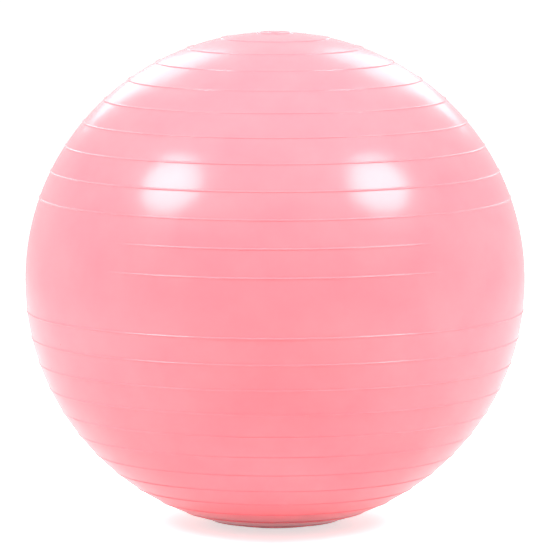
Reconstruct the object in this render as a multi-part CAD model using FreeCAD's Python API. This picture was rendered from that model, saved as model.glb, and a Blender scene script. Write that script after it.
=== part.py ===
import FreeCAD, Part
import math
import os

# Exercise ball: a hollow ball of soft PVC, blown up and standing on the floor, with its air valve.
#   ball_shell    the whole skin, moulded in one piece with its grip ribs
#   valve_seat    flange and tapered tube welded inside the skin
#   stopper_plug  white stopper pushed into the seat, flush with the skin
# Frame: origin at the middle of the patch on the floor, +Z up, print side towards -Y, valve towards +Y.
# Lengths in mm, latitudes and azimuths in degrees.

os.makedirs("parts", exist_ok=True)
Vector = FreeCAD.Vector

# ---- overall sizes -------------------------------------------------------------------------------
ball_width = 650.0          # across the skin at the equator, the size the ball is sold by
height_ratio = 0.994        # the free skin is a little lower than it is wide
patch_radius = 38.0         # flat where the weight presses the skin on the floor
wall = 0.8                  # PVC skin

# ---- ribs ----------------------------------------------------------------------------------------
rib_height = 1.0            # above the skin
rib_crest_radius = 1.0      # rounding of the crest, seen across the rib
rib_root_radius = 0.8       # rounding into the skin
band_bulge = 0.12           # the skin between two ribs swells by this
first_rib_above = 6.75      # latitude of the first rib over the equator
rib_pitch_above = 6.5       # to the next one
rib_spread_above = 0.0058   # the pitch opens with the cube of the rib's number
last_rib_above = 87.0       # no rib nearer the top than this
first_rib_below = 6.7       # the same three for the lower half, where the pitch is even
rib_pitch_below = 6.2
patch_clearance = 4.0       # latitude left free round the floor patch

# The first two ribs over the equator stop short of the sides, on the print side and on the valve side.
short_rib_spans = [40.5, 38.8]   # azimuth either side of the middle where the rib has died away
runout = 4.8                # azimuth over which a short rib shrinks away at each end
runout_steps = 3
runout_left = 0.1           # share of the rib's section left at its tip
short_rib_sink = 0.15       # the short rib's root is set this far under the skin, so the two cut cleanly

# ---- moulding boss on the pole -------------------------------------------------------------------
pole_button_radius = 9.0
pole_button_height = 0.8

# ---- air valve -----------------------------------------------------------------------------------
head_radius = 9.0           # plug head
head_rounding = 0.4
gate_radius = 1.0           # flat left by the moulding gate in the middle of the head
head_clearance = 0.4        # head to the hole in the skin, all round
weld_width = 6.6            # flange outside the hole, welded to the skin
land_margin = 1.0           # flat land of the skin outside the flange
flange_thickness = 1.6
flange_lip = 0.8            # thickness left at the flange's rim
bore_radius = 4.55          # at the mouth
bore_taper = 0.5            # the bore loses this much radius over the tube's length
tube_wall = 2.95
tube_length = 20.0
tube_fillet = 2.0           # tube into the flange
stem_clearance = 0.05       # stem to bore, all round
stem_overhang = 3.0         # stem past the end of the tube
ring_length = 2.4           # sealing rings on the stem
ring_count = 3
waist_depth = 0.35          # stem between the rings
stem_wall = 1.6             # round the stem's hollow, at its tip
core_roof = 3.0             # solid left under the head

hole_radius = head_radius + head_clearance
flange_radius = hole_radius + weld_width
land_radius = flange_radius + land_margin
tube_radius = bore_radius + tube_wall
half_width = ball_width / 2
half_height = half_width * height_ratio
centre_height = half_height * math.sqrt(1 - (patch_radius / half_width) ** 2)
tightest = min(half_width, half_height) - wall    # the inside curves most along this half axis
valve_face = (half_width - wall) * math.sqrt(1 - (land_radius / tightest) ** 2)    # y of land and flange
head_edge = math.sqrt(half_width ** 2 - head_radius ** 2) - valve_face    # plug head, flush with the skin
head_crown = half_width - valve_face


def skin_point(latitude, lift=0.0):
    """Point of the smooth skin in the XZ plane, raised along its normal."""
    across = math.cos(math.radians(latitude))
    up = math.sin(math.radians(latitude))
    normal_x = half_height * across
    normal_z = half_width * up
    share = lift / math.hypot(normal_x, normal_z)
    x = half_width * across + share * normal_x
    z = centre_height + half_height * up + share * normal_z
    return Vector(x, 0, z)


def latitude_at(radius):
    """Latitude in the upper half where the skin is this far from the ball's axis."""
    return math.degrees(math.acos(radius / half_width))


def arc(start, middle, end):
    """Edge through three points."""
    return Part.Arc(start, middle, end).toShape()


def line(start, end):
    """Straight edge."""
    return Part.LineSegment(start, end).toShape()


def rib_half_width(height):
    """From the middle of a rib to where its root rounding meets the skin."""
    reach = rib_crest_radius + rib_root_radius
    return math.sqrt(reach ** 2 - (height - reach) ** 2)


def rib_edges(latitude, share=1.0, sink=0.0):
    """Root rounding, crest, root rounding, from the upper side of a rib to its lower side."""
    height = rib_height + sink
    half = rib_half_width(height)
    reach = rib_crest_radius + rib_root_radius
    crest_centre = height - rib_crest_radius
    split = rib_crest_radius / reach
    join = (half * split, crest_centre + (rib_root_radius - crest_centre) * split)
    lean = math.atan2(half, rib_root_radius - crest_centre) / 2
    root_middle = (half - rib_root_radius * math.sin(lean), rib_root_radius * (1 - math.cos(lean)))

    def place(along, lift):
        turn = math.degrees(along * share / half_width)
        return skin_point(latitude + turn, lift * share - sink)

    upper = arc(place(half, 0), place(*root_middle), place(*join))
    crest = arc(place(*join), place(0, height), place(-join[0], join[1]))
    lower = arc(place(-join[0], join[1]), place(-root_middle[0], root_middle[1]), place(-half, 0))
    return [upper, crest, lower]


def ribs_above():
    """Latitudes of the ribs in the upper half, from the equator up."""
    found = []
    latitude = first_rib_above
    while latitude <= last_rib_above:
        found.append(latitude)
        number = len(found)
        latitude = first_rib_above + rib_pitch_above * number + rib_spread_above * number ** 3
    return found


def ribs_below():
    """Latitudes of the ribs in the lower half, from the equator down to the floor patch."""
    limit = latitude_at(patch_radius) - patch_clearance
    count = 1 + int((limit - first_rib_below) / rib_pitch_below)
    return [-first_rib_below - rib_pitch_below * number for number in range(count)]


def band_edges(top, bottom):
    """Skin between two latitudes: swollen a little, or plain across the wide equator band."""
    if top > 0 > bottom:
        halves = [(top, 0.0), (0.0, bottom)]
        return [arc(skin_point(a), skin_point((a + b) / 2), skin_point(b)) for a, b in halves]
    middle = skin_point((top + bottom) / 2, band_bulge)
    return [arc(skin_point(top), middle, skin_point(bottom))]


def outer_skin():
    """Solid ball with the ribs that run all the way round."""
    top = skin_point(90).z + pole_button_height
    button_edge = latitude_at(pole_button_radius)
    button_rim = Vector(pole_button_radius - pole_button_height, 0, top)
    edges = [line(Vector(0, 0, top), button_rim), line(button_rim, skin_point(button_edge))]
    rib_angle = math.degrees(rib_half_width(rib_height) / half_width)
    previous = button_edge
    full_above = ribs_above()[len(short_rib_spans):]
    for latitude in full_above[::-1] + ribs_below():
        edges += band_edges(previous, latitude + rib_angle)
        edges += rib_edges(latitude)
        previous = latitude - rib_angle
    patch_edge = Vector(patch_radius, 0, 0)
    middle = skin_point((previous - latitude_at(patch_radius)) / 2)
    edges.append(arc(skin_point(previous), middle, patch_edge))
    edges.append(line(patch_edge, Vector(0, 0, 0)))
    edges.append(line(Vector(0, 0, 0), Vector(0, 0, top)))
    return Part.Face(Part.Wire(edges)).revolve(Vector(0, 0, 0), Vector(0, 0, 1), 360)


def short_rib_section(latitude, azimuth, share):
    """Closed outline of a short rib where it crosses this azimuth, closed by a keel inside the skin."""
    edges = rib_edges(latitude, share, short_rib_sink)
    keel = skin_point(latitude, -wall)
    edges.append(line(edges[-1].Vertexes[-1].Point, keel))
    edges.append(line(keel, edges[0].Vertexes[0].Point))
    return Part.Wire(edges).rotated(Vector(0, 0, 0), Vector(0, 0, 1), azimuth)


def short_rib(latitude, span, middle):
    """Rib that reaches this far either side of the middle azimuth and shrinks away at both ends."""
    full = span - runout
    start = Part.Face(short_rib_section(latitude, middle - full, 1))
    solid = start.revolve(Vector(0, 0, 0), Vector(0, 0, 1), 2 * full)
    for side in (-1, 1):
        outlines = []
        for step in range(runout_steps + 1):
            gone = step / runout_steps
            azimuth = middle + side * (full + runout * gone)
            share = 1 - (1 - runout_left) * gone ** 2
            outlines.append(short_rib_section(latitude, azimuth, share))
        solid = solid.fuse(Part.makeLoft(outlines, True, True))
    return solid


def cavity():
    """Air space: the skin's inside, flat over the floor patch, under the pole button and at the valve."""
    side = half_width - wall
    height = half_height - wall
    centre = Vector(0, 0, centre_height)
    oval = Part.Ellipse(centre + Vector(side, 0, 0), centre + Vector(0, 0, height), centre)
    roof_height = centre_height + height * math.sqrt(1 - (pole_button_radius / side) ** 2)
    floor_radius = side * math.sqrt(1 - ((centre_height - wall) / height) ** 2)
    roof_edge = Vector(pole_button_radius, 0, roof_height)
    floor_edge = Vector(floor_radius, 0, wall)
    start = oval.parameter(floor_edge) - 2 * math.pi
    edges = [oval.toShape(start, oval.parameter(roof_edge)), line(roof_edge, Vector(0, 0, roof_height)),
             line(Vector(0, 0, roof_height), Vector(0, 0, wall)), line(Vector(0, 0, wall), floor_edge)]
    space = Part.Face(Part.Wire(edges)).revolve(Vector(0, 0, 0), Vector(0, 0, 1), 360)
    corner = Vector(-half_width, valve_face, centre_height - half_width)
    return space.cut(Part.makeBox(ball_width, ball_width, ball_width, corner))


def valve_hole():
    """Round hole in the skin, a little wider than the plug's head."""
    base = Vector(0, valve_face - wall, centre_height)
    return Part.makeCylinder(hole_radius, half_width - valve_face + 2 * wall, base, Vector(0, 1, 0))


def ball_shell():
    """The whole skin: full ribs, short ribs on two sides, air space and the hole for the plug."""
    skin = outer_skin()
    for middle in (-90, 90):
        for latitude, span in zip(ribs_above(), short_rib_spans):
            skin = skin.fuse(short_rib(latitude, span, middle))
    return skin.cut(cavity()).cut(valve_hole())


def turned(edges):
    """Solid turned from a profile whose axis is local Z, set on the valve's axis with Z outward."""
    solid = Part.Face(Part.Wire(edges)).revolve(Vector(0, 0, 0), Vector(0, 0, 1), 360)
    solid.rotate(Vector(0, 0, 0), Vector(1, 0, 0), -90)
    solid.translate(Vector(0, valve_face, centre_height))
    return solid


def polyline(points):
    """Closed run of straight edges through (radius, height) pairs."""
    vectors = [Vector(radius, 0, along) for radius, along in points]
    return [line(a, b) for a, b in zip(vectors, vectors[1:] + vectors[:1])]


def bore_at(depth):
    """Radius of the seat's tapered bore at this depth under the flange's face."""
    return bore_radius - bore_taper * depth / tube_length


def valve_seat():
    """Round flange, feathered at its rim, and the tube that grips the plug's stem."""
    rim = (flange_radius, -flange_lip)
    back = (tube_radius + tube_fillet, -flange_thickness)
    side = (tube_radius, -flange_thickness - tube_fillet)
    slack = tube_fillet * (1 - math.sqrt(0.5))
    waist = Vector(tube_radius + slack, 0, -flange_thickness - slack)
    tip = (bore_at(tube_length) + tube_radius - bore_radius, -tube_length)
    points = [(bore_at(0), 0), (flange_radius, 0), rim, back, side, tip, (bore_at(tube_length), -tube_length)]
    edges = polyline(points)
    edges[3] = arc(Vector(back[0], 0, back[1]), waist, Vector(side[0], 0, side[1]))
    return turned(edges)


def stopper_plug():
    """Domed head flush with the skin, tapered stem with sealing rings, hollow from the tip."""
    def stem_at(depth, cut=0.0):
        return bore_at(depth) - stem_clearance - cut

    length = tube_length + stem_overhang
    inner = head_radius - head_rounding
    points = [(0, head_crown), (gate_radius, head_crown), (inner, head_edge),
              (head_radius, head_edge - head_rounding), (head_radius, 0), (stem_at(0), 0)]
    pitch = (tube_length - ring_length) / (ring_count - 1)
    for number in range(ring_count):
        start = number * pitch
        end = start + ring_length
        if number:
            points.append((stem_at(start - waist_depth, waist_depth), waist_depth - start))
            points.append((stem_at(start), -start))
        points.append((stem_at(end), -end))
        points.append((stem_at(end + waist_depth, waist_depth), -end - waist_depth))
    tip = stem_at(length, waist_depth)
    core = tip - stem_wall
    points += [(tip, -length + waist_depth), (tip - waist_depth, -length), (core, -length),
               (core, -core_roof), (0, -core_roof)]
    edges = polyline(points)
    run = inner - gate_radius
    sag = head_crown - head_edge
    halfway = Vector(gate_radius + run / 2, 0, head_crown - sag / 4)
    edges[1] = arc(Vector(gate_radius, 0, head_crown), halfway, Vector(inner, 0, head_edge))
    rounding = head_rounding * (1 - math.sqrt(0.5))
    edges[2] = arc(Vector(inner, 0, head_edge), Vector(head_radius - rounding, 0, head_edge - rounding),
                   Vector(head_radius, 0, head_edge - head_rounding))
    return turned(edges)


ball_shell().exportStep("parts/ball_shell.step")
valve_seat().exportStep("parts/valve_seat.step")
stopper_plug().exportStep("parts/stopper_plug.step")
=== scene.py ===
# %% [markdown]
# # An exercise ball, modelled and lit
#
# A gym ball is one hollow moulding of soft, glossy PVC with thin grip ribs round it, and an air valve: a seat
# welded inside the skin and a white stopper pushed into it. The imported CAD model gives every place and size.
# Here the skin gets a fine mesh of its own, the valve parts get their finishes, and the whole is lit as in a
# plain white studio. Everything is in metres, with the ball standing on z = 0 and its print side facing -Y.

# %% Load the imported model
import bpy
import math
import numpy as np
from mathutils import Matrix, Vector


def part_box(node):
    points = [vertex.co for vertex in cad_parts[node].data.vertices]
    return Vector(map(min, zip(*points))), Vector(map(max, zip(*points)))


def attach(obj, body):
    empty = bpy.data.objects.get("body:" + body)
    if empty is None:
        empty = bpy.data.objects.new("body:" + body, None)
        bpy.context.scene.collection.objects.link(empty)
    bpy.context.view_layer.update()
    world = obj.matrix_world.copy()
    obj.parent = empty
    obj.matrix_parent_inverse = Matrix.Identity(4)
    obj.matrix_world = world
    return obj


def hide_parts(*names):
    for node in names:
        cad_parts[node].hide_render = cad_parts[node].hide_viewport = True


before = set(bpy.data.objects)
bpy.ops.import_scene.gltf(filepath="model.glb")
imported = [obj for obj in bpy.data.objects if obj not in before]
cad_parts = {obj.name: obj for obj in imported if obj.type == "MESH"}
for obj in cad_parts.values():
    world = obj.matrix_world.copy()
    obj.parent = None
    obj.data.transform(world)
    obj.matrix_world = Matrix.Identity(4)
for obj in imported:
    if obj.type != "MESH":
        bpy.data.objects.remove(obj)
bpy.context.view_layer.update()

# %% [markdown]
# ## Sizes
#
# The skin is an ellipsoid, a little lower than it is wide, cut flat where it stands. Its width comes from the
# CAD node's box, so the mesh made here always fits the model that the physics uses. The ribs follow the same
# rule as the moulding tool: numbered from the equator, evenly spaced below it, and opening slowly above it.
# Lengths are in metres. Ribs are placed by latitude in degrees, and a short rib has its half span in degrees.

# %% Sizes of the skin and its ribs
shell_low, shell_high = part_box("ball_shell")
seat_low, seat_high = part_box("valve_seat")

HALF_WIDTH = (shell_high.x - shell_low.x) / 2
HEIGHT_RATIO = 0.994
HALF_HEIGHT = HALF_WIDTH * HEIGHT_RATIO
PATCH_RADIUS = 0.038
CENTRE = HALF_HEIGHT * math.sqrt(1 - (PATCH_RADIUS / HALF_WIDTH) ** 2)
BUTTON_HEIGHT = 0.0008
RIB_HEIGHT = 0.0010
CREST_RADIUS = 0.0010
ROOT_RADIUS = 0.0008
BAND_BULGE = 0.00012
RIB_COUNT = 12
RIBS_ABOVE = [6.75 + 6.5 * k + 0.0058 * k ** 3 for k in range(RIB_COUNT)]
RIBS_BELOW = [-6.7 - 6.2 * k for k in range(RIB_COUNT)]
SHORT_RIBS = {RIBS_ABOVE[0]: 40.5, RIBS_ABOVE[1]: 38.8}
RUNOUT = 4.8
HOLE_RADIUS = 0.0094
VALVE_FACE = seat_high.y
print("skin", round(2 * HALF_WIDTH, 4), "m wide, centre", round(CENTRE, 4), "m up")
print(len(RIBS_ABOVE) + len(RIBS_BELOW), "ribs, valve face at y", round(VALVE_FACE, 4))

# %% [markdown]
# ## The outline of the skin
#
# A rib is a small rounded ridge: a crest arc that runs into the skin through two root arcs. Knowing its height
# at any distance from its middle line, the whole outline of the ball can be listed as points from the pole to
# the floor, close together on the ribs and far apart on the plain bands. Each point is a latitude and a lift
# off the smooth ellipsoid.

# %% Rib section and point on the skin
REACH = CREST_RADIUS + ROOT_RADIUS
RIB_HALF = math.sqrt(REACH ** 2 - (RIB_HEIGHT - REACH) ** 2)
RIB_JOIN = RIB_HALF * CREST_RADIUS / REACH


def rib_lift(offset):
    """Height of a rib this far, in metres, from its middle line."""
    offset = np.abs(offset)
    crest = np.sqrt(np.clip(CREST_RADIUS ** 2 - offset ** 2, 0, None)) + RIB_HEIGHT - CREST_RADIUS
    root = ROOT_RADIUS - np.sqrt(np.clip(ROOT_RADIUS ** 2 - (RIB_HALF - offset) ** 2, 0, None))
    return np.where(offset < RIB_JOIN, crest, np.where(offset < RIB_HALF, root, 0.0))


def skin_point(latitude, lift=0.0):
    """Distance from the axis and height of a point of the outline."""
    across, up = math.cos(math.radians(latitude)), math.sin(math.radians(latitude))
    normal = Vector((HALF_HEIGHT * across, HALF_WIDTH * up)).normalized()
    return Vector((HALF_WIDTH * across, CENTRE + HALF_HEIGHT * up)) + lift * normal


print("rib base", round(2000 * RIB_HALF, 2), "mm wide, crest", round(1000 * float(rib_lift(0)), 2), "mm high")

# %% [markdown]
# At the pole sits a small round button, where the mould was filled. The skin then runs down from rib to rib. Each
# rib takes nine rows. Two rows lie half a millimetre off it, so that its rounding doesn't shade the plain band
# beside it, and a few more carry the band, which swells a tenth of a millimetre between two ribs.

# %% Points of the outline, from the pole down to the floor
RIB_STEPS = [1.0, 0.78, 0.52, 0.27, 0.0]
DEGREES = math.degrees(1 / HALF_WIDTH)
SUPPORT = 0.0005
BAND_ROWS, PRINT_BAND_ROWS = 3, 7
BUTTON = [(0.0, 1.0), (0.003, 1.0), (0.006, 0.99), (0.0076, 0.93), (0.0083, 0.72), (0.0088, 0.38), (0.0093, 0.08)]
BUTTON_EDGE = 0.0098


def rib_points(latitude, height_share):
    """Nine points across a rib. A share of 0 only places the rows that a short rib needs."""
    offsets = [RIB_HALF * step for step in RIB_STEPS] + [-RIB_HALF * step for step in RIB_STEPS[-2::-1]]
    return [skin_point(latitude + o * DEGREES, float(rib_lift(o)) * height_share) for o in offsets]


def band_points(top, bottom, count, bulge):
    """Points between two ribs, with the swell of a taut band. The first and last rows lie close to the ribs, so
    that the rounding of a rib doesn't shade the band beside it."""
    near = SUPPORT * DEGREES / (top - bottom)
    shares = [near] + [(n + 1) / (count + 1) for n in range(count)] + [1 - near]
    return [skin_point(top + (bottom - top) * t, bulge * 4 * t * (1 - t)) for t in shares]


pole = skin_point(90).y
outline = [Vector((r, pole + BUTTON_HEIGHT * h)) for r, h in BUTTON]
edge = math.degrees(math.acos(BUTTON_EDGE / HALF_WIDTH))
outline.append(skin_point(edge))
rib_degrees = RIB_HALF * DEGREES
for latitude in RIBS_ABOVE[::-1] + RIBS_BELOW:
    print_band = latitude == RIBS_BELOW[0]
    bulge = 0.0 if print_band or latitude in SHORT_RIBS else BAND_BULGE
    outline += band_points(edge, latitude + rib_degrees, PRINT_BAND_ROWS if print_band else BAND_ROWS, bulge)
    outline += rib_points(latitude, 0.0 if latitude in SHORT_RIBS else 1.0)
    edge = latitude - rib_degrees
outline += band_points(edge, -math.degrees(math.acos(PATCH_RADIUS / HALF_WIDTH)), BAND_ROWS, 0.0)
outline += [Vector((PATCH_RADIUS * t, 0.0)) for t in (1.0, 0.85, 0.5, 0.0)]
print(len(outline), "points down the outline")

# %% [markdown]
# ## Spinning the skin
#
# Rotational moulding makes a round thing with no seam. The same result comes from drawing half of the outline
# and spinning it about the upright axis. The outline is drawn as by hand: a plane is merged to one point, and
# the point is extruded from place to place. A sphere primitive would put its rings at even angles, where no
# rib is, so the outline is drawn instead.

# %% Draw the outline and spin it
SEGMENTS = 256
MERGE = 0.00002


def only(piece):
    """Make this piece the only one selected, and active."""
    bpy.ops.object.select_all(action="DESELECT")
    piece.select_set(True)
    bpy.context.view_layer.objects.active = piece


bpy.ops.object.select_all(action="DESELECT")
bpy.ops.mesh.primitive_plane_add(size=0.01, location=(0, 0, 0))
skin = bpy.context.object
skin.name = "skin"
bpy.ops.object.mode_set(mode="EDIT")
bpy.ops.mesh.select_all(action="SELECT")
bpy.ops.mesh.merge(type="CENTER")
bpy.ops.transform.translate(value=(outline[0].x, 0, outline[0].y))
for start, end in zip(outline, outline[1:]):
    step = end - start
    bpy.ops.mesh.extrude_region_move(TRANSFORM_OT_translate={"value": (step.x, 0, step.y)})
bpy.ops.mesh.select_all(action="SELECT")
bpy.ops.mesh.spin(steps=SEGMENTS, angle=2 * math.pi, center=(0, 0, 0), axis=(0, 0, 1))
bpy.ops.mesh.select_all(action="SELECT")
bpy.ops.mesh.remove_doubles(threshold=MERGE)
bpy.ops.mesh.normals_make_consistent(inside=False)
bpy.ops.object.mode_set(mode="OBJECT")
print("skin:", len(skin.data.vertices), "points,", len(skin.data.polygons), "faces")

# %% [markdown]
# ## Short ribs
#
# The two ribs over the blank print band don't run all the way round: they fade out towards the sides. Their
# rows of points are already there, lying flat, so they only need lifting by an amount that depends on how far
# round the ball a point is. Lifting points by a rule is a few lines of array code, and more even than pulling
# them by hand.

# %% Lift the short ribs
points = np.empty(len(skin.data.vertices) * 3)
skin.data.vertices.foreach_get("co", points)
points = points.reshape(-1, 3)
flat = np.hypot(points[:, 0], points[:, 1])
latitudes = np.degrees(np.arctan2((points[:, 2] - CENTRE) / HALF_HEIGHT, flat / HALF_WIDTH))
azimuths = np.degrees(np.arctan2(points[:, 0], -points[:, 1]))
round_way = np.minimum(np.abs(azimuths), 180 - np.abs(azimuths))
outward = np.stack([points[:, 0] / HALF_WIDTH ** 2, points[:, 1] / HALF_WIDTH ** 2,
                    (points[:, 2] - CENTRE) / HALF_HEIGHT ** 2], axis=1)
outward /= np.linalg.norm(outward, axis=1)[:, None]

lift = np.zeros(len(points))
for latitude, span in SHORT_RIBS.items():
    gone = np.clip((round_way - span + RUNOUT) / RUNOUT, 0, 1)
    share = 1 - gone ** 2
    offset = np.radians(latitudes - latitude) * HALF_WIDTH
    lift += rib_lift(offset / np.maximum(share, 0.001)) * share
points += outward * lift[:, None]
skin.data.vertices.foreach_set("co", points.reshape(-1))
skin.data.update()
print("lifted", int((lift > 0).sum()), "points for the short ribs")

# %% [markdown]
# ## The hole for the stopper
#
# At the back the stopper's head sits in a round hole, flush with the skin. A cutter of the hole's size, as deep
# as the face of the valve seat, is taken out of the ball with a Boolean modifier. Its floor is then deleted,
# so that the seat itself shows there. The faces round the hole are first divided and their new points set on the
# ellipsoid, because the wide faces of the smooth band would shade badly where the hole cuts them.

# %% Cut the valve's hole
FINE_REACH = 0.026
SNAP_REACH = 0.034
CUTTER_DEPTH = 0.02
CREASE = math.radians(50)

valve = Vector((0, VALVE_FACE, CENTRE))
only(skin)
bpy.ops.object.mode_set(mode="EDIT")
bpy.ops.mesh.select_mode(type="FACE")
bpy.ops.mesh.select_all(action="DESELECT")
bpy.ops.object.mode_set(mode="OBJECT")
for face in skin.data.polygons:
    face.select = (face.center - valve).length < FINE_REACH
bpy.ops.object.mode_set(mode="EDIT")
bpy.ops.mesh.subdivide(number_cuts=3)
bpy.ops.object.mode_set(mode="OBJECT")
for vertex in skin.data.vertices:
    if (vertex.co - valve).length < SNAP_REACH:
        x, y, z = vertex.co
        unit = Vector((x / HALF_WIDTH, y / HALF_WIDTH, (z - CENTRE) / HALF_HEIGHT))
        unit.normalize()
        vertex.co = Vector((unit.x * HALF_WIDTH, unit.y * HALF_WIDTH, CENTRE + unit.z * HALF_HEIGHT))

bpy.ops.object.select_all(action="DESELECT")
bpy.ops.mesh.primitive_cylinder_add(vertices=96, radius=HOLE_RADIUS, depth=CUTTER_DEPTH,
                                    location=(0, VALVE_FACE + CUTTER_DEPTH / 2, CENTRE), rotation=(math.pi / 2, 0, 0))
cutter = bpy.context.object
cut = skin.modifiers.new("valve hole", "BOOLEAN")
cut.operation = "DIFFERENCE"
cut.solver = "EXACT"
cut.object = cutter
only(skin)
bpy.ops.object.modifier_apply(modifier=cut.name)
bpy.data.objects.remove(cutter)
for face in skin.data.polygons:
    face.select = abs(face.center.y - VALVE_FACE) < MERGE and (face.center - valve).length < HOLE_RADIUS
bpy.ops.object.mode_set(mode="EDIT")
bpy.ops.mesh.delete(type="FACE")
bpy.ops.object.mode_set(mode="OBJECT")
bpy.ops.object.shade_smooth_by_angle(angle=CREASE)
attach(skin, "ball")
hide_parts("ball_shell")
print("skin with its hole:", sum(len(f.vertices) - 2 for f in skin.data.polygons), "triangles")

# %% [markdown]
# ## Materials
#
# Colours are written as sRGB hex values, as a colour picker gives them, and one function turns them into the
# linear values that shaders want. One more function adds a node with its settings, its values and its links.

# %% Helpers for materials
def linear(code):
    """sRGB hex colour to linear RGBA."""
    parts = [int(code[i:i + 2], 16) / 255 for i in (0, 2, 4)]
    return [c / 12.92 if c <= 0.04045 else ((c + 0.055) / 1.055) ** 2.4 for c in parts] + [1.0]


def add(tree, kind, settings=None, **inputs):
    """Add a node. Inputs are values, or sockets to link from, by name with _ for a space, or as i and a number."""
    node = tree.nodes.new(kind)
    for name, value in (settings or {}).items():
        setattr(node, name, value)
    for name, value in inputs.items():
        by_index = name[0] == "i" and name[1:].isdigit()
        socket = node.inputs[int(name[1:]) if by_index else name.replace("_", " ")]
        if isinstance(value, bpy.types.NodeSocket):
            tree.links.new(value, socket)
        else:
            socket.default_value = value
    return node


def new_material(name):
    """A material with only its output node."""
    material = bpy.data.materials.new(name)
    material.use_nodes = True
    material.node_tree.nodes.clear()
    return material, material.node_tree


print("check: mid grey 808080 is", round(linear("808080")[0], 3), "in linear light")

# %% [markdown]
# ### Soft PVC, moulded glossy
#
# The skin is plasticised PVC from a polished mould: a saturated pink body under a shiny surface. Two glosses
# lie over each other. The broad one comes from the soft body of the skin, the sharper one is a coat and stands
# for the polish of the mould. A little subsurface colour stands for the light that enters the thin wall.
#
# The pigment is slightly uneven, in clouds about 70 mm across, and a few dark specks of burnt pigment lie in it,
# one in some of the cells of a Voronoi pattern. The surface has a faint orange peel and very shallow waves. A
# pattern's scale is one over the size of its features in metres, so each is written in millimetres.

# %% The skin's material
def per_mm(size):
    """Texture scale for features of this size in millimetres."""
    return 1000 / size


CLOUD_SIZE, PEEL_SIZE, WAVE_SIZE, SPECK_SPACING = 70, 2.4, 33, 45
SPECK_RADIUS, SPECK_CHANCE = 0.7, 0.4
PEEL_DEPTH, WAVE_DEPTH = 0.000006, 0.00012

skin_pvc, tree = new_material("PVC_plasticised_moulded_gloss_pink")
place = add(tree, "ShaderNodeTexCoord").outputs["Object"]
cloud = add(tree, "ShaderNodeTexNoise", None, Vector=place, Scale=per_mm(CLOUD_SIZE), Detail=3.0, Roughness=0.5)
tint = add(tree, "ShaderNodeValToRGB", None, Fac=cloud.outputs["Fac"])
pale, deep = tint.color_ramp.elements[1], tint.color_ramp.elements[0]
deep.position, deep.color = 0.3, linear("FF7C87")
pale.position, pale.color = 0.7, linear("FF838C")
cells = add(tree, "ShaderNodeTexVoronoi", None, Vector=place, Scale=per_mm(SPECK_SPACING))
speck = add(tree, "ShaderNodeMath", {"operation": "LESS_THAN"}, i0=cells.outputs["Distance"],
            i1=SPECK_RADIUS / SPECK_SPACING)
chance = add(tree, "ShaderNodeSeparateColor", None, Color=cells.outputs["Color"])
few = add(tree, "ShaderNodeMath", {"operation": "GREATER_THAN"}, i0=chance.outputs["Red"],
          i1=1 - SPECK_CHANCE)
where = add(tree, "ShaderNodeMath", {"operation": "MULTIPLY"}, i0=speck.outputs["Value"], i1=few.outputs["Value"])
colour = add(tree, "ShaderNodeMix", {"data_type": "RGBA"}, i0=where.outputs["Value"], i6=tint.outputs["Color"],
             i7=linear("A8525C"))
peel = add(tree, "ShaderNodeTexNoise", None, Vector=place, Scale=per_mm(PEEL_SIZE), Detail=2.0, Roughness=0.5)
waves = add(tree, "ShaderNodeTexNoise", None, Vector=place, Scale=per_mm(WAVE_SIZE), Detail=2.0, Roughness=0.4)
fine = add(tree, "ShaderNodeBump", None, Strength=1.0, Distance=PEEL_DEPTH, Height=peel.outputs["Fac"])
broad = add(tree, "ShaderNodeBump", None, Strength=1.0, Distance=WAVE_DEPTH, Height=waves.outputs["Fac"],
            Normal=fine.outputs["Normal"])
body = add(tree, "ShaderNodeBsdfPrincipled", None, Base_Color=colour.outputs[2], Roughness=0.45, IOR=1.53,
           Specular_IOR_Level=0.12, Subsurface_Weight=0.2, Subsurface_Radius=(0.03, 0.012, 0.012),
           Subsurface_Scale=1.0, Coat_Weight=0.5, Coat_Roughness=0.2, Coat_IOR=1.5,
           Normal=broad.outputs["Normal"], Coat_Normal=broad.outputs["Normal"])
add(tree, "ShaderNodeOutputMaterial", None, Surface=body.outputs["BSDF"])
skin.data.materials.clear()
skin.data.materials.append(skin_pvc)
print("skin finish:", skin_pvc.name, "with", len(tree.nodes), "nodes")

# %% [markdown]
# ### The valve's two plastics
#
# The seat is moulded from the same soft PVC as the skin, in a mould that isn't polished, so it is satin. The
# stopper is white low-density polyethylene, a waxy plastic that is soft enough to press into the seat. Both have
# the fine grain of a spark-eroded mould and nothing else, so one function makes both.

# %% The valve's materials
def moulded(name, code, roughness, ior, grain_size, grain_depth):
    """A plain moulded plastic with a fine grain, sizes in millimetres."""
    material, tree = new_material(name)
    place = add(tree, "ShaderNodeTexCoord").outputs["Object"]
    grain = add(tree, "ShaderNodeTexNoise", None, Vector=place, Scale=per_mm(grain_size), Detail=2.0)
    bump = add(tree, "ShaderNodeBump", None, Strength=1.0, Distance=grain_depth / 1000, Height=grain.outputs["Fac"])
    body = add(tree, "ShaderNodeBsdfPrincipled", None, Base_Color=linear(code), Roughness=roughness, IOR=ior,
               Normal=bump.outputs["Normal"])
    add(tree, "ShaderNodeOutputMaterial", None, Surface=body.outputs["BSDF"])
    return material


finishes = {"valve_seat": moulded("PVC_plasticised_moulded_satin_pink", "F27C88", 0.45, 1.53, 1.1, 0.02),
            "stopper_plug": moulded("LDPE_moulded_satin_white", "F1F0EC", 0.38, 1.51, 0.8, 0.01)}
for node, finish in finishes.items():
    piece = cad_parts[node]
    piece.data.materials.clear()
    piece.data.materials.append(finish)
    print(node, "finish:", finish.name)

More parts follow.
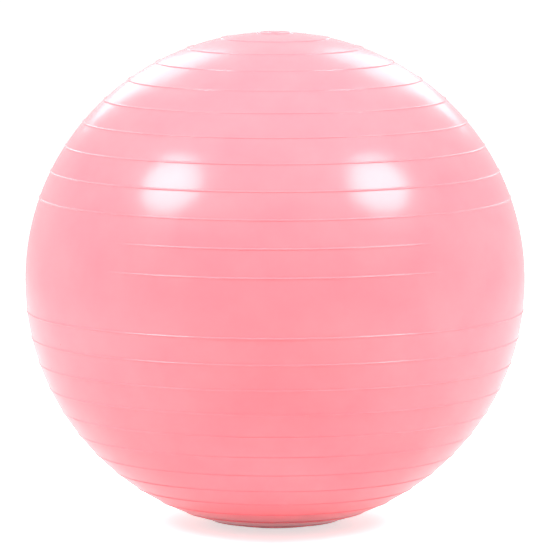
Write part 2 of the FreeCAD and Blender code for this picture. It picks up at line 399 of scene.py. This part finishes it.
# %% [markdown]
# ## Studio: paper and surround
#
# A ball like this is shown on white paper, in a white room. The paper is a wide pale floor and the room is the
# world. The rays that carry the background, which are camera, glossy and transmission rays, meet a glow on the
# floor and full white in the world, so the picture and every reflection show the same white. No other ray meets
# the glow, so it adds nothing to the diffuse light on the ball, and the ball keeps its soft shadow on the paper.

# %% Floor and surround
FLOOR_SIZE = 80
PAPER_GLOW, AMBIENT = 0.64, 0.5


def shows_background(tree):
    """1 for camera, glossy and transmission rays, and 0 for all others."""
    rays = add(tree, "ShaderNodeLightPath")
    either = add(tree, "ShaderNodeMath", {"operation": "MAXIMUM"}, i0=rays.outputs["Is Camera Ray"],
                 i1=rays.outputs["Is Glossy Ray"])
    return add(tree, "ShaderNodeMath", {"operation": "MAXIMUM"}, i0=either.outputs["Value"],
               i1=rays.outputs["Is Transmission Ray"]).outputs["Value"]


bpy.ops.object.select_all(action="DESELECT")
bpy.ops.mesh.primitive_plane_add(size=FLOOR_SIZE, location=(0, 0, 0))
floor = bpy.context.object
floor.name = "floor"
paper, tree = new_material("Paper_white_matt")
white = add(tree, "ShaderNodeBsdfDiffuse", None, Color=(0.85, 0.85, 0.85, 1.0))
strength = add(tree, "ShaderNodeMath", {"operation": "MULTIPLY"}, i0=shows_background(tree), i1=PAPER_GLOW)
glow = add(tree, "ShaderNodeEmission", None, Color=(1, 1, 1, 1), Strength=strength.outputs["Value"])
shown = add(tree, "ShaderNodeAddShader", None, i0=white.outputs["BSDF"], i1=glow.outputs["Emission"])
add(tree, "ShaderNodeOutputMaterial", None, Surface=shown.outputs["Shader"])
floor.data.materials.append(paper)

world = bpy.data.worlds.new("white_studio")
bpy.context.scene.world = world
world.use_nodes = True
tree = world.node_tree
tree.nodes.clear()
ambient = add(tree, "ShaderNodeBackground", None, Color=(1, 1, 1, 1), Strength=AMBIENT)
white = add(tree, "ShaderNodeBackground", None, Color=(1, 1, 1, 1), Strength=1.0)
pick = add(tree, "ShaderNodeMixShader", None, Fac=shows_background(tree), i1=ambient.outputs["Background"],
           i2=white.outputs["Background"])
add(tree, "ShaderNodeOutputWorld", None, Surface=pick.outputs["Shader"])
print("floor", FLOOR_SIZE, "m wide in", paper.name, "and world", world.name)

# %% [markdown]
# ## Studio: lamps
#
# Two oval softboxes high on the left and right give the two white highlights. Two tall narrow lamps stand behind
# the ball and draw the white rims on its shoulders, and a weak wide one hangs above. They come in mirrored pairs,
# so one loop places them. An area lamp shines along its own -Z, so each is turned until +Z points away.

# %% Lamps
MIDDLE = Vector((0, 0, CENTRE))


def lamp(name, azimuth, elevation, distance, width, height, watts, shape="ELLIPSE"):
    """Area lamp that looks at the ball's middle. Azimuth 0 is in front, towards -Y."""
    a, e = math.radians(azimuth), math.radians(elevation)
    away = Vector((math.sin(a) * math.cos(e), -math.cos(a) * math.cos(e), math.sin(e)))
    light = bpy.data.lights.new(name, "AREA")
    light.shape = shape
    light.size, light.size_y = width, height
    light.energy = watts
    holder = bpy.data.objects.new(name, light)
    holder.visible_camera = False
    bpy.context.scene.collection.objects.link(holder)
    holder.location = MIDDLE + away * distance
    holder.rotation_euler = away.to_track_quat("Z", "Y").to_euler()
    print(name, "at", [round(c, 2) for c in holder.location], "with", watts, "W")


for side in (-1, 1):
    lamp("softbox", side * 60.5, 41, 2.5, 1.15, 1.05, 62)
    lamp("rim_light", side * 158, 30, 3.0, 0.9, 1.5, 16, "RECTANGLE")
lamp("top_light", 0, 80, 2.5, 2.5, 2.0, 5, "RECTANGLE")

# %% [markdown]
# ## Camera
#
# The camera stands well back and a little above the ball's middle, level enough for the ribs to look almost
# straight. The focal length follows from the distance and from how wide a field the picture takes in.

# %% Camera
DISTANCE = 8.0
ELEVATION = math.radians(6.4)
FIELD = 0.7158
AIM_ABOVE = 0.0065
SENSOR = 36

back = Vector((0, -math.cos(ELEVATION), math.sin(ELEVATION)))
rise = Vector((0, math.sin(ELEVATION), math.cos(ELEVATION)))
camera_data = bpy.data.cameras.new("camera")
camera_data.sensor_width = SENSOR
camera_data.lens = SENSOR * DISTANCE / FIELD
camera = bpy.data.objects.new("camera", camera_data)
bpy.context.scene.collection.objects.link(camera)
camera.location = MIDDLE + rise * AIM_ABOVE + back * DISTANCE
camera.rotation_euler = back.to_track_quat("Z", "Y").to_euler()
bpy.context.scene.camera = camera
bpy.context.scene.view_settings.view_transform = "Standard"
print("camera at", [round(c, 2) for c in camera.location], "lens", round(camera_data.lens), "mm")
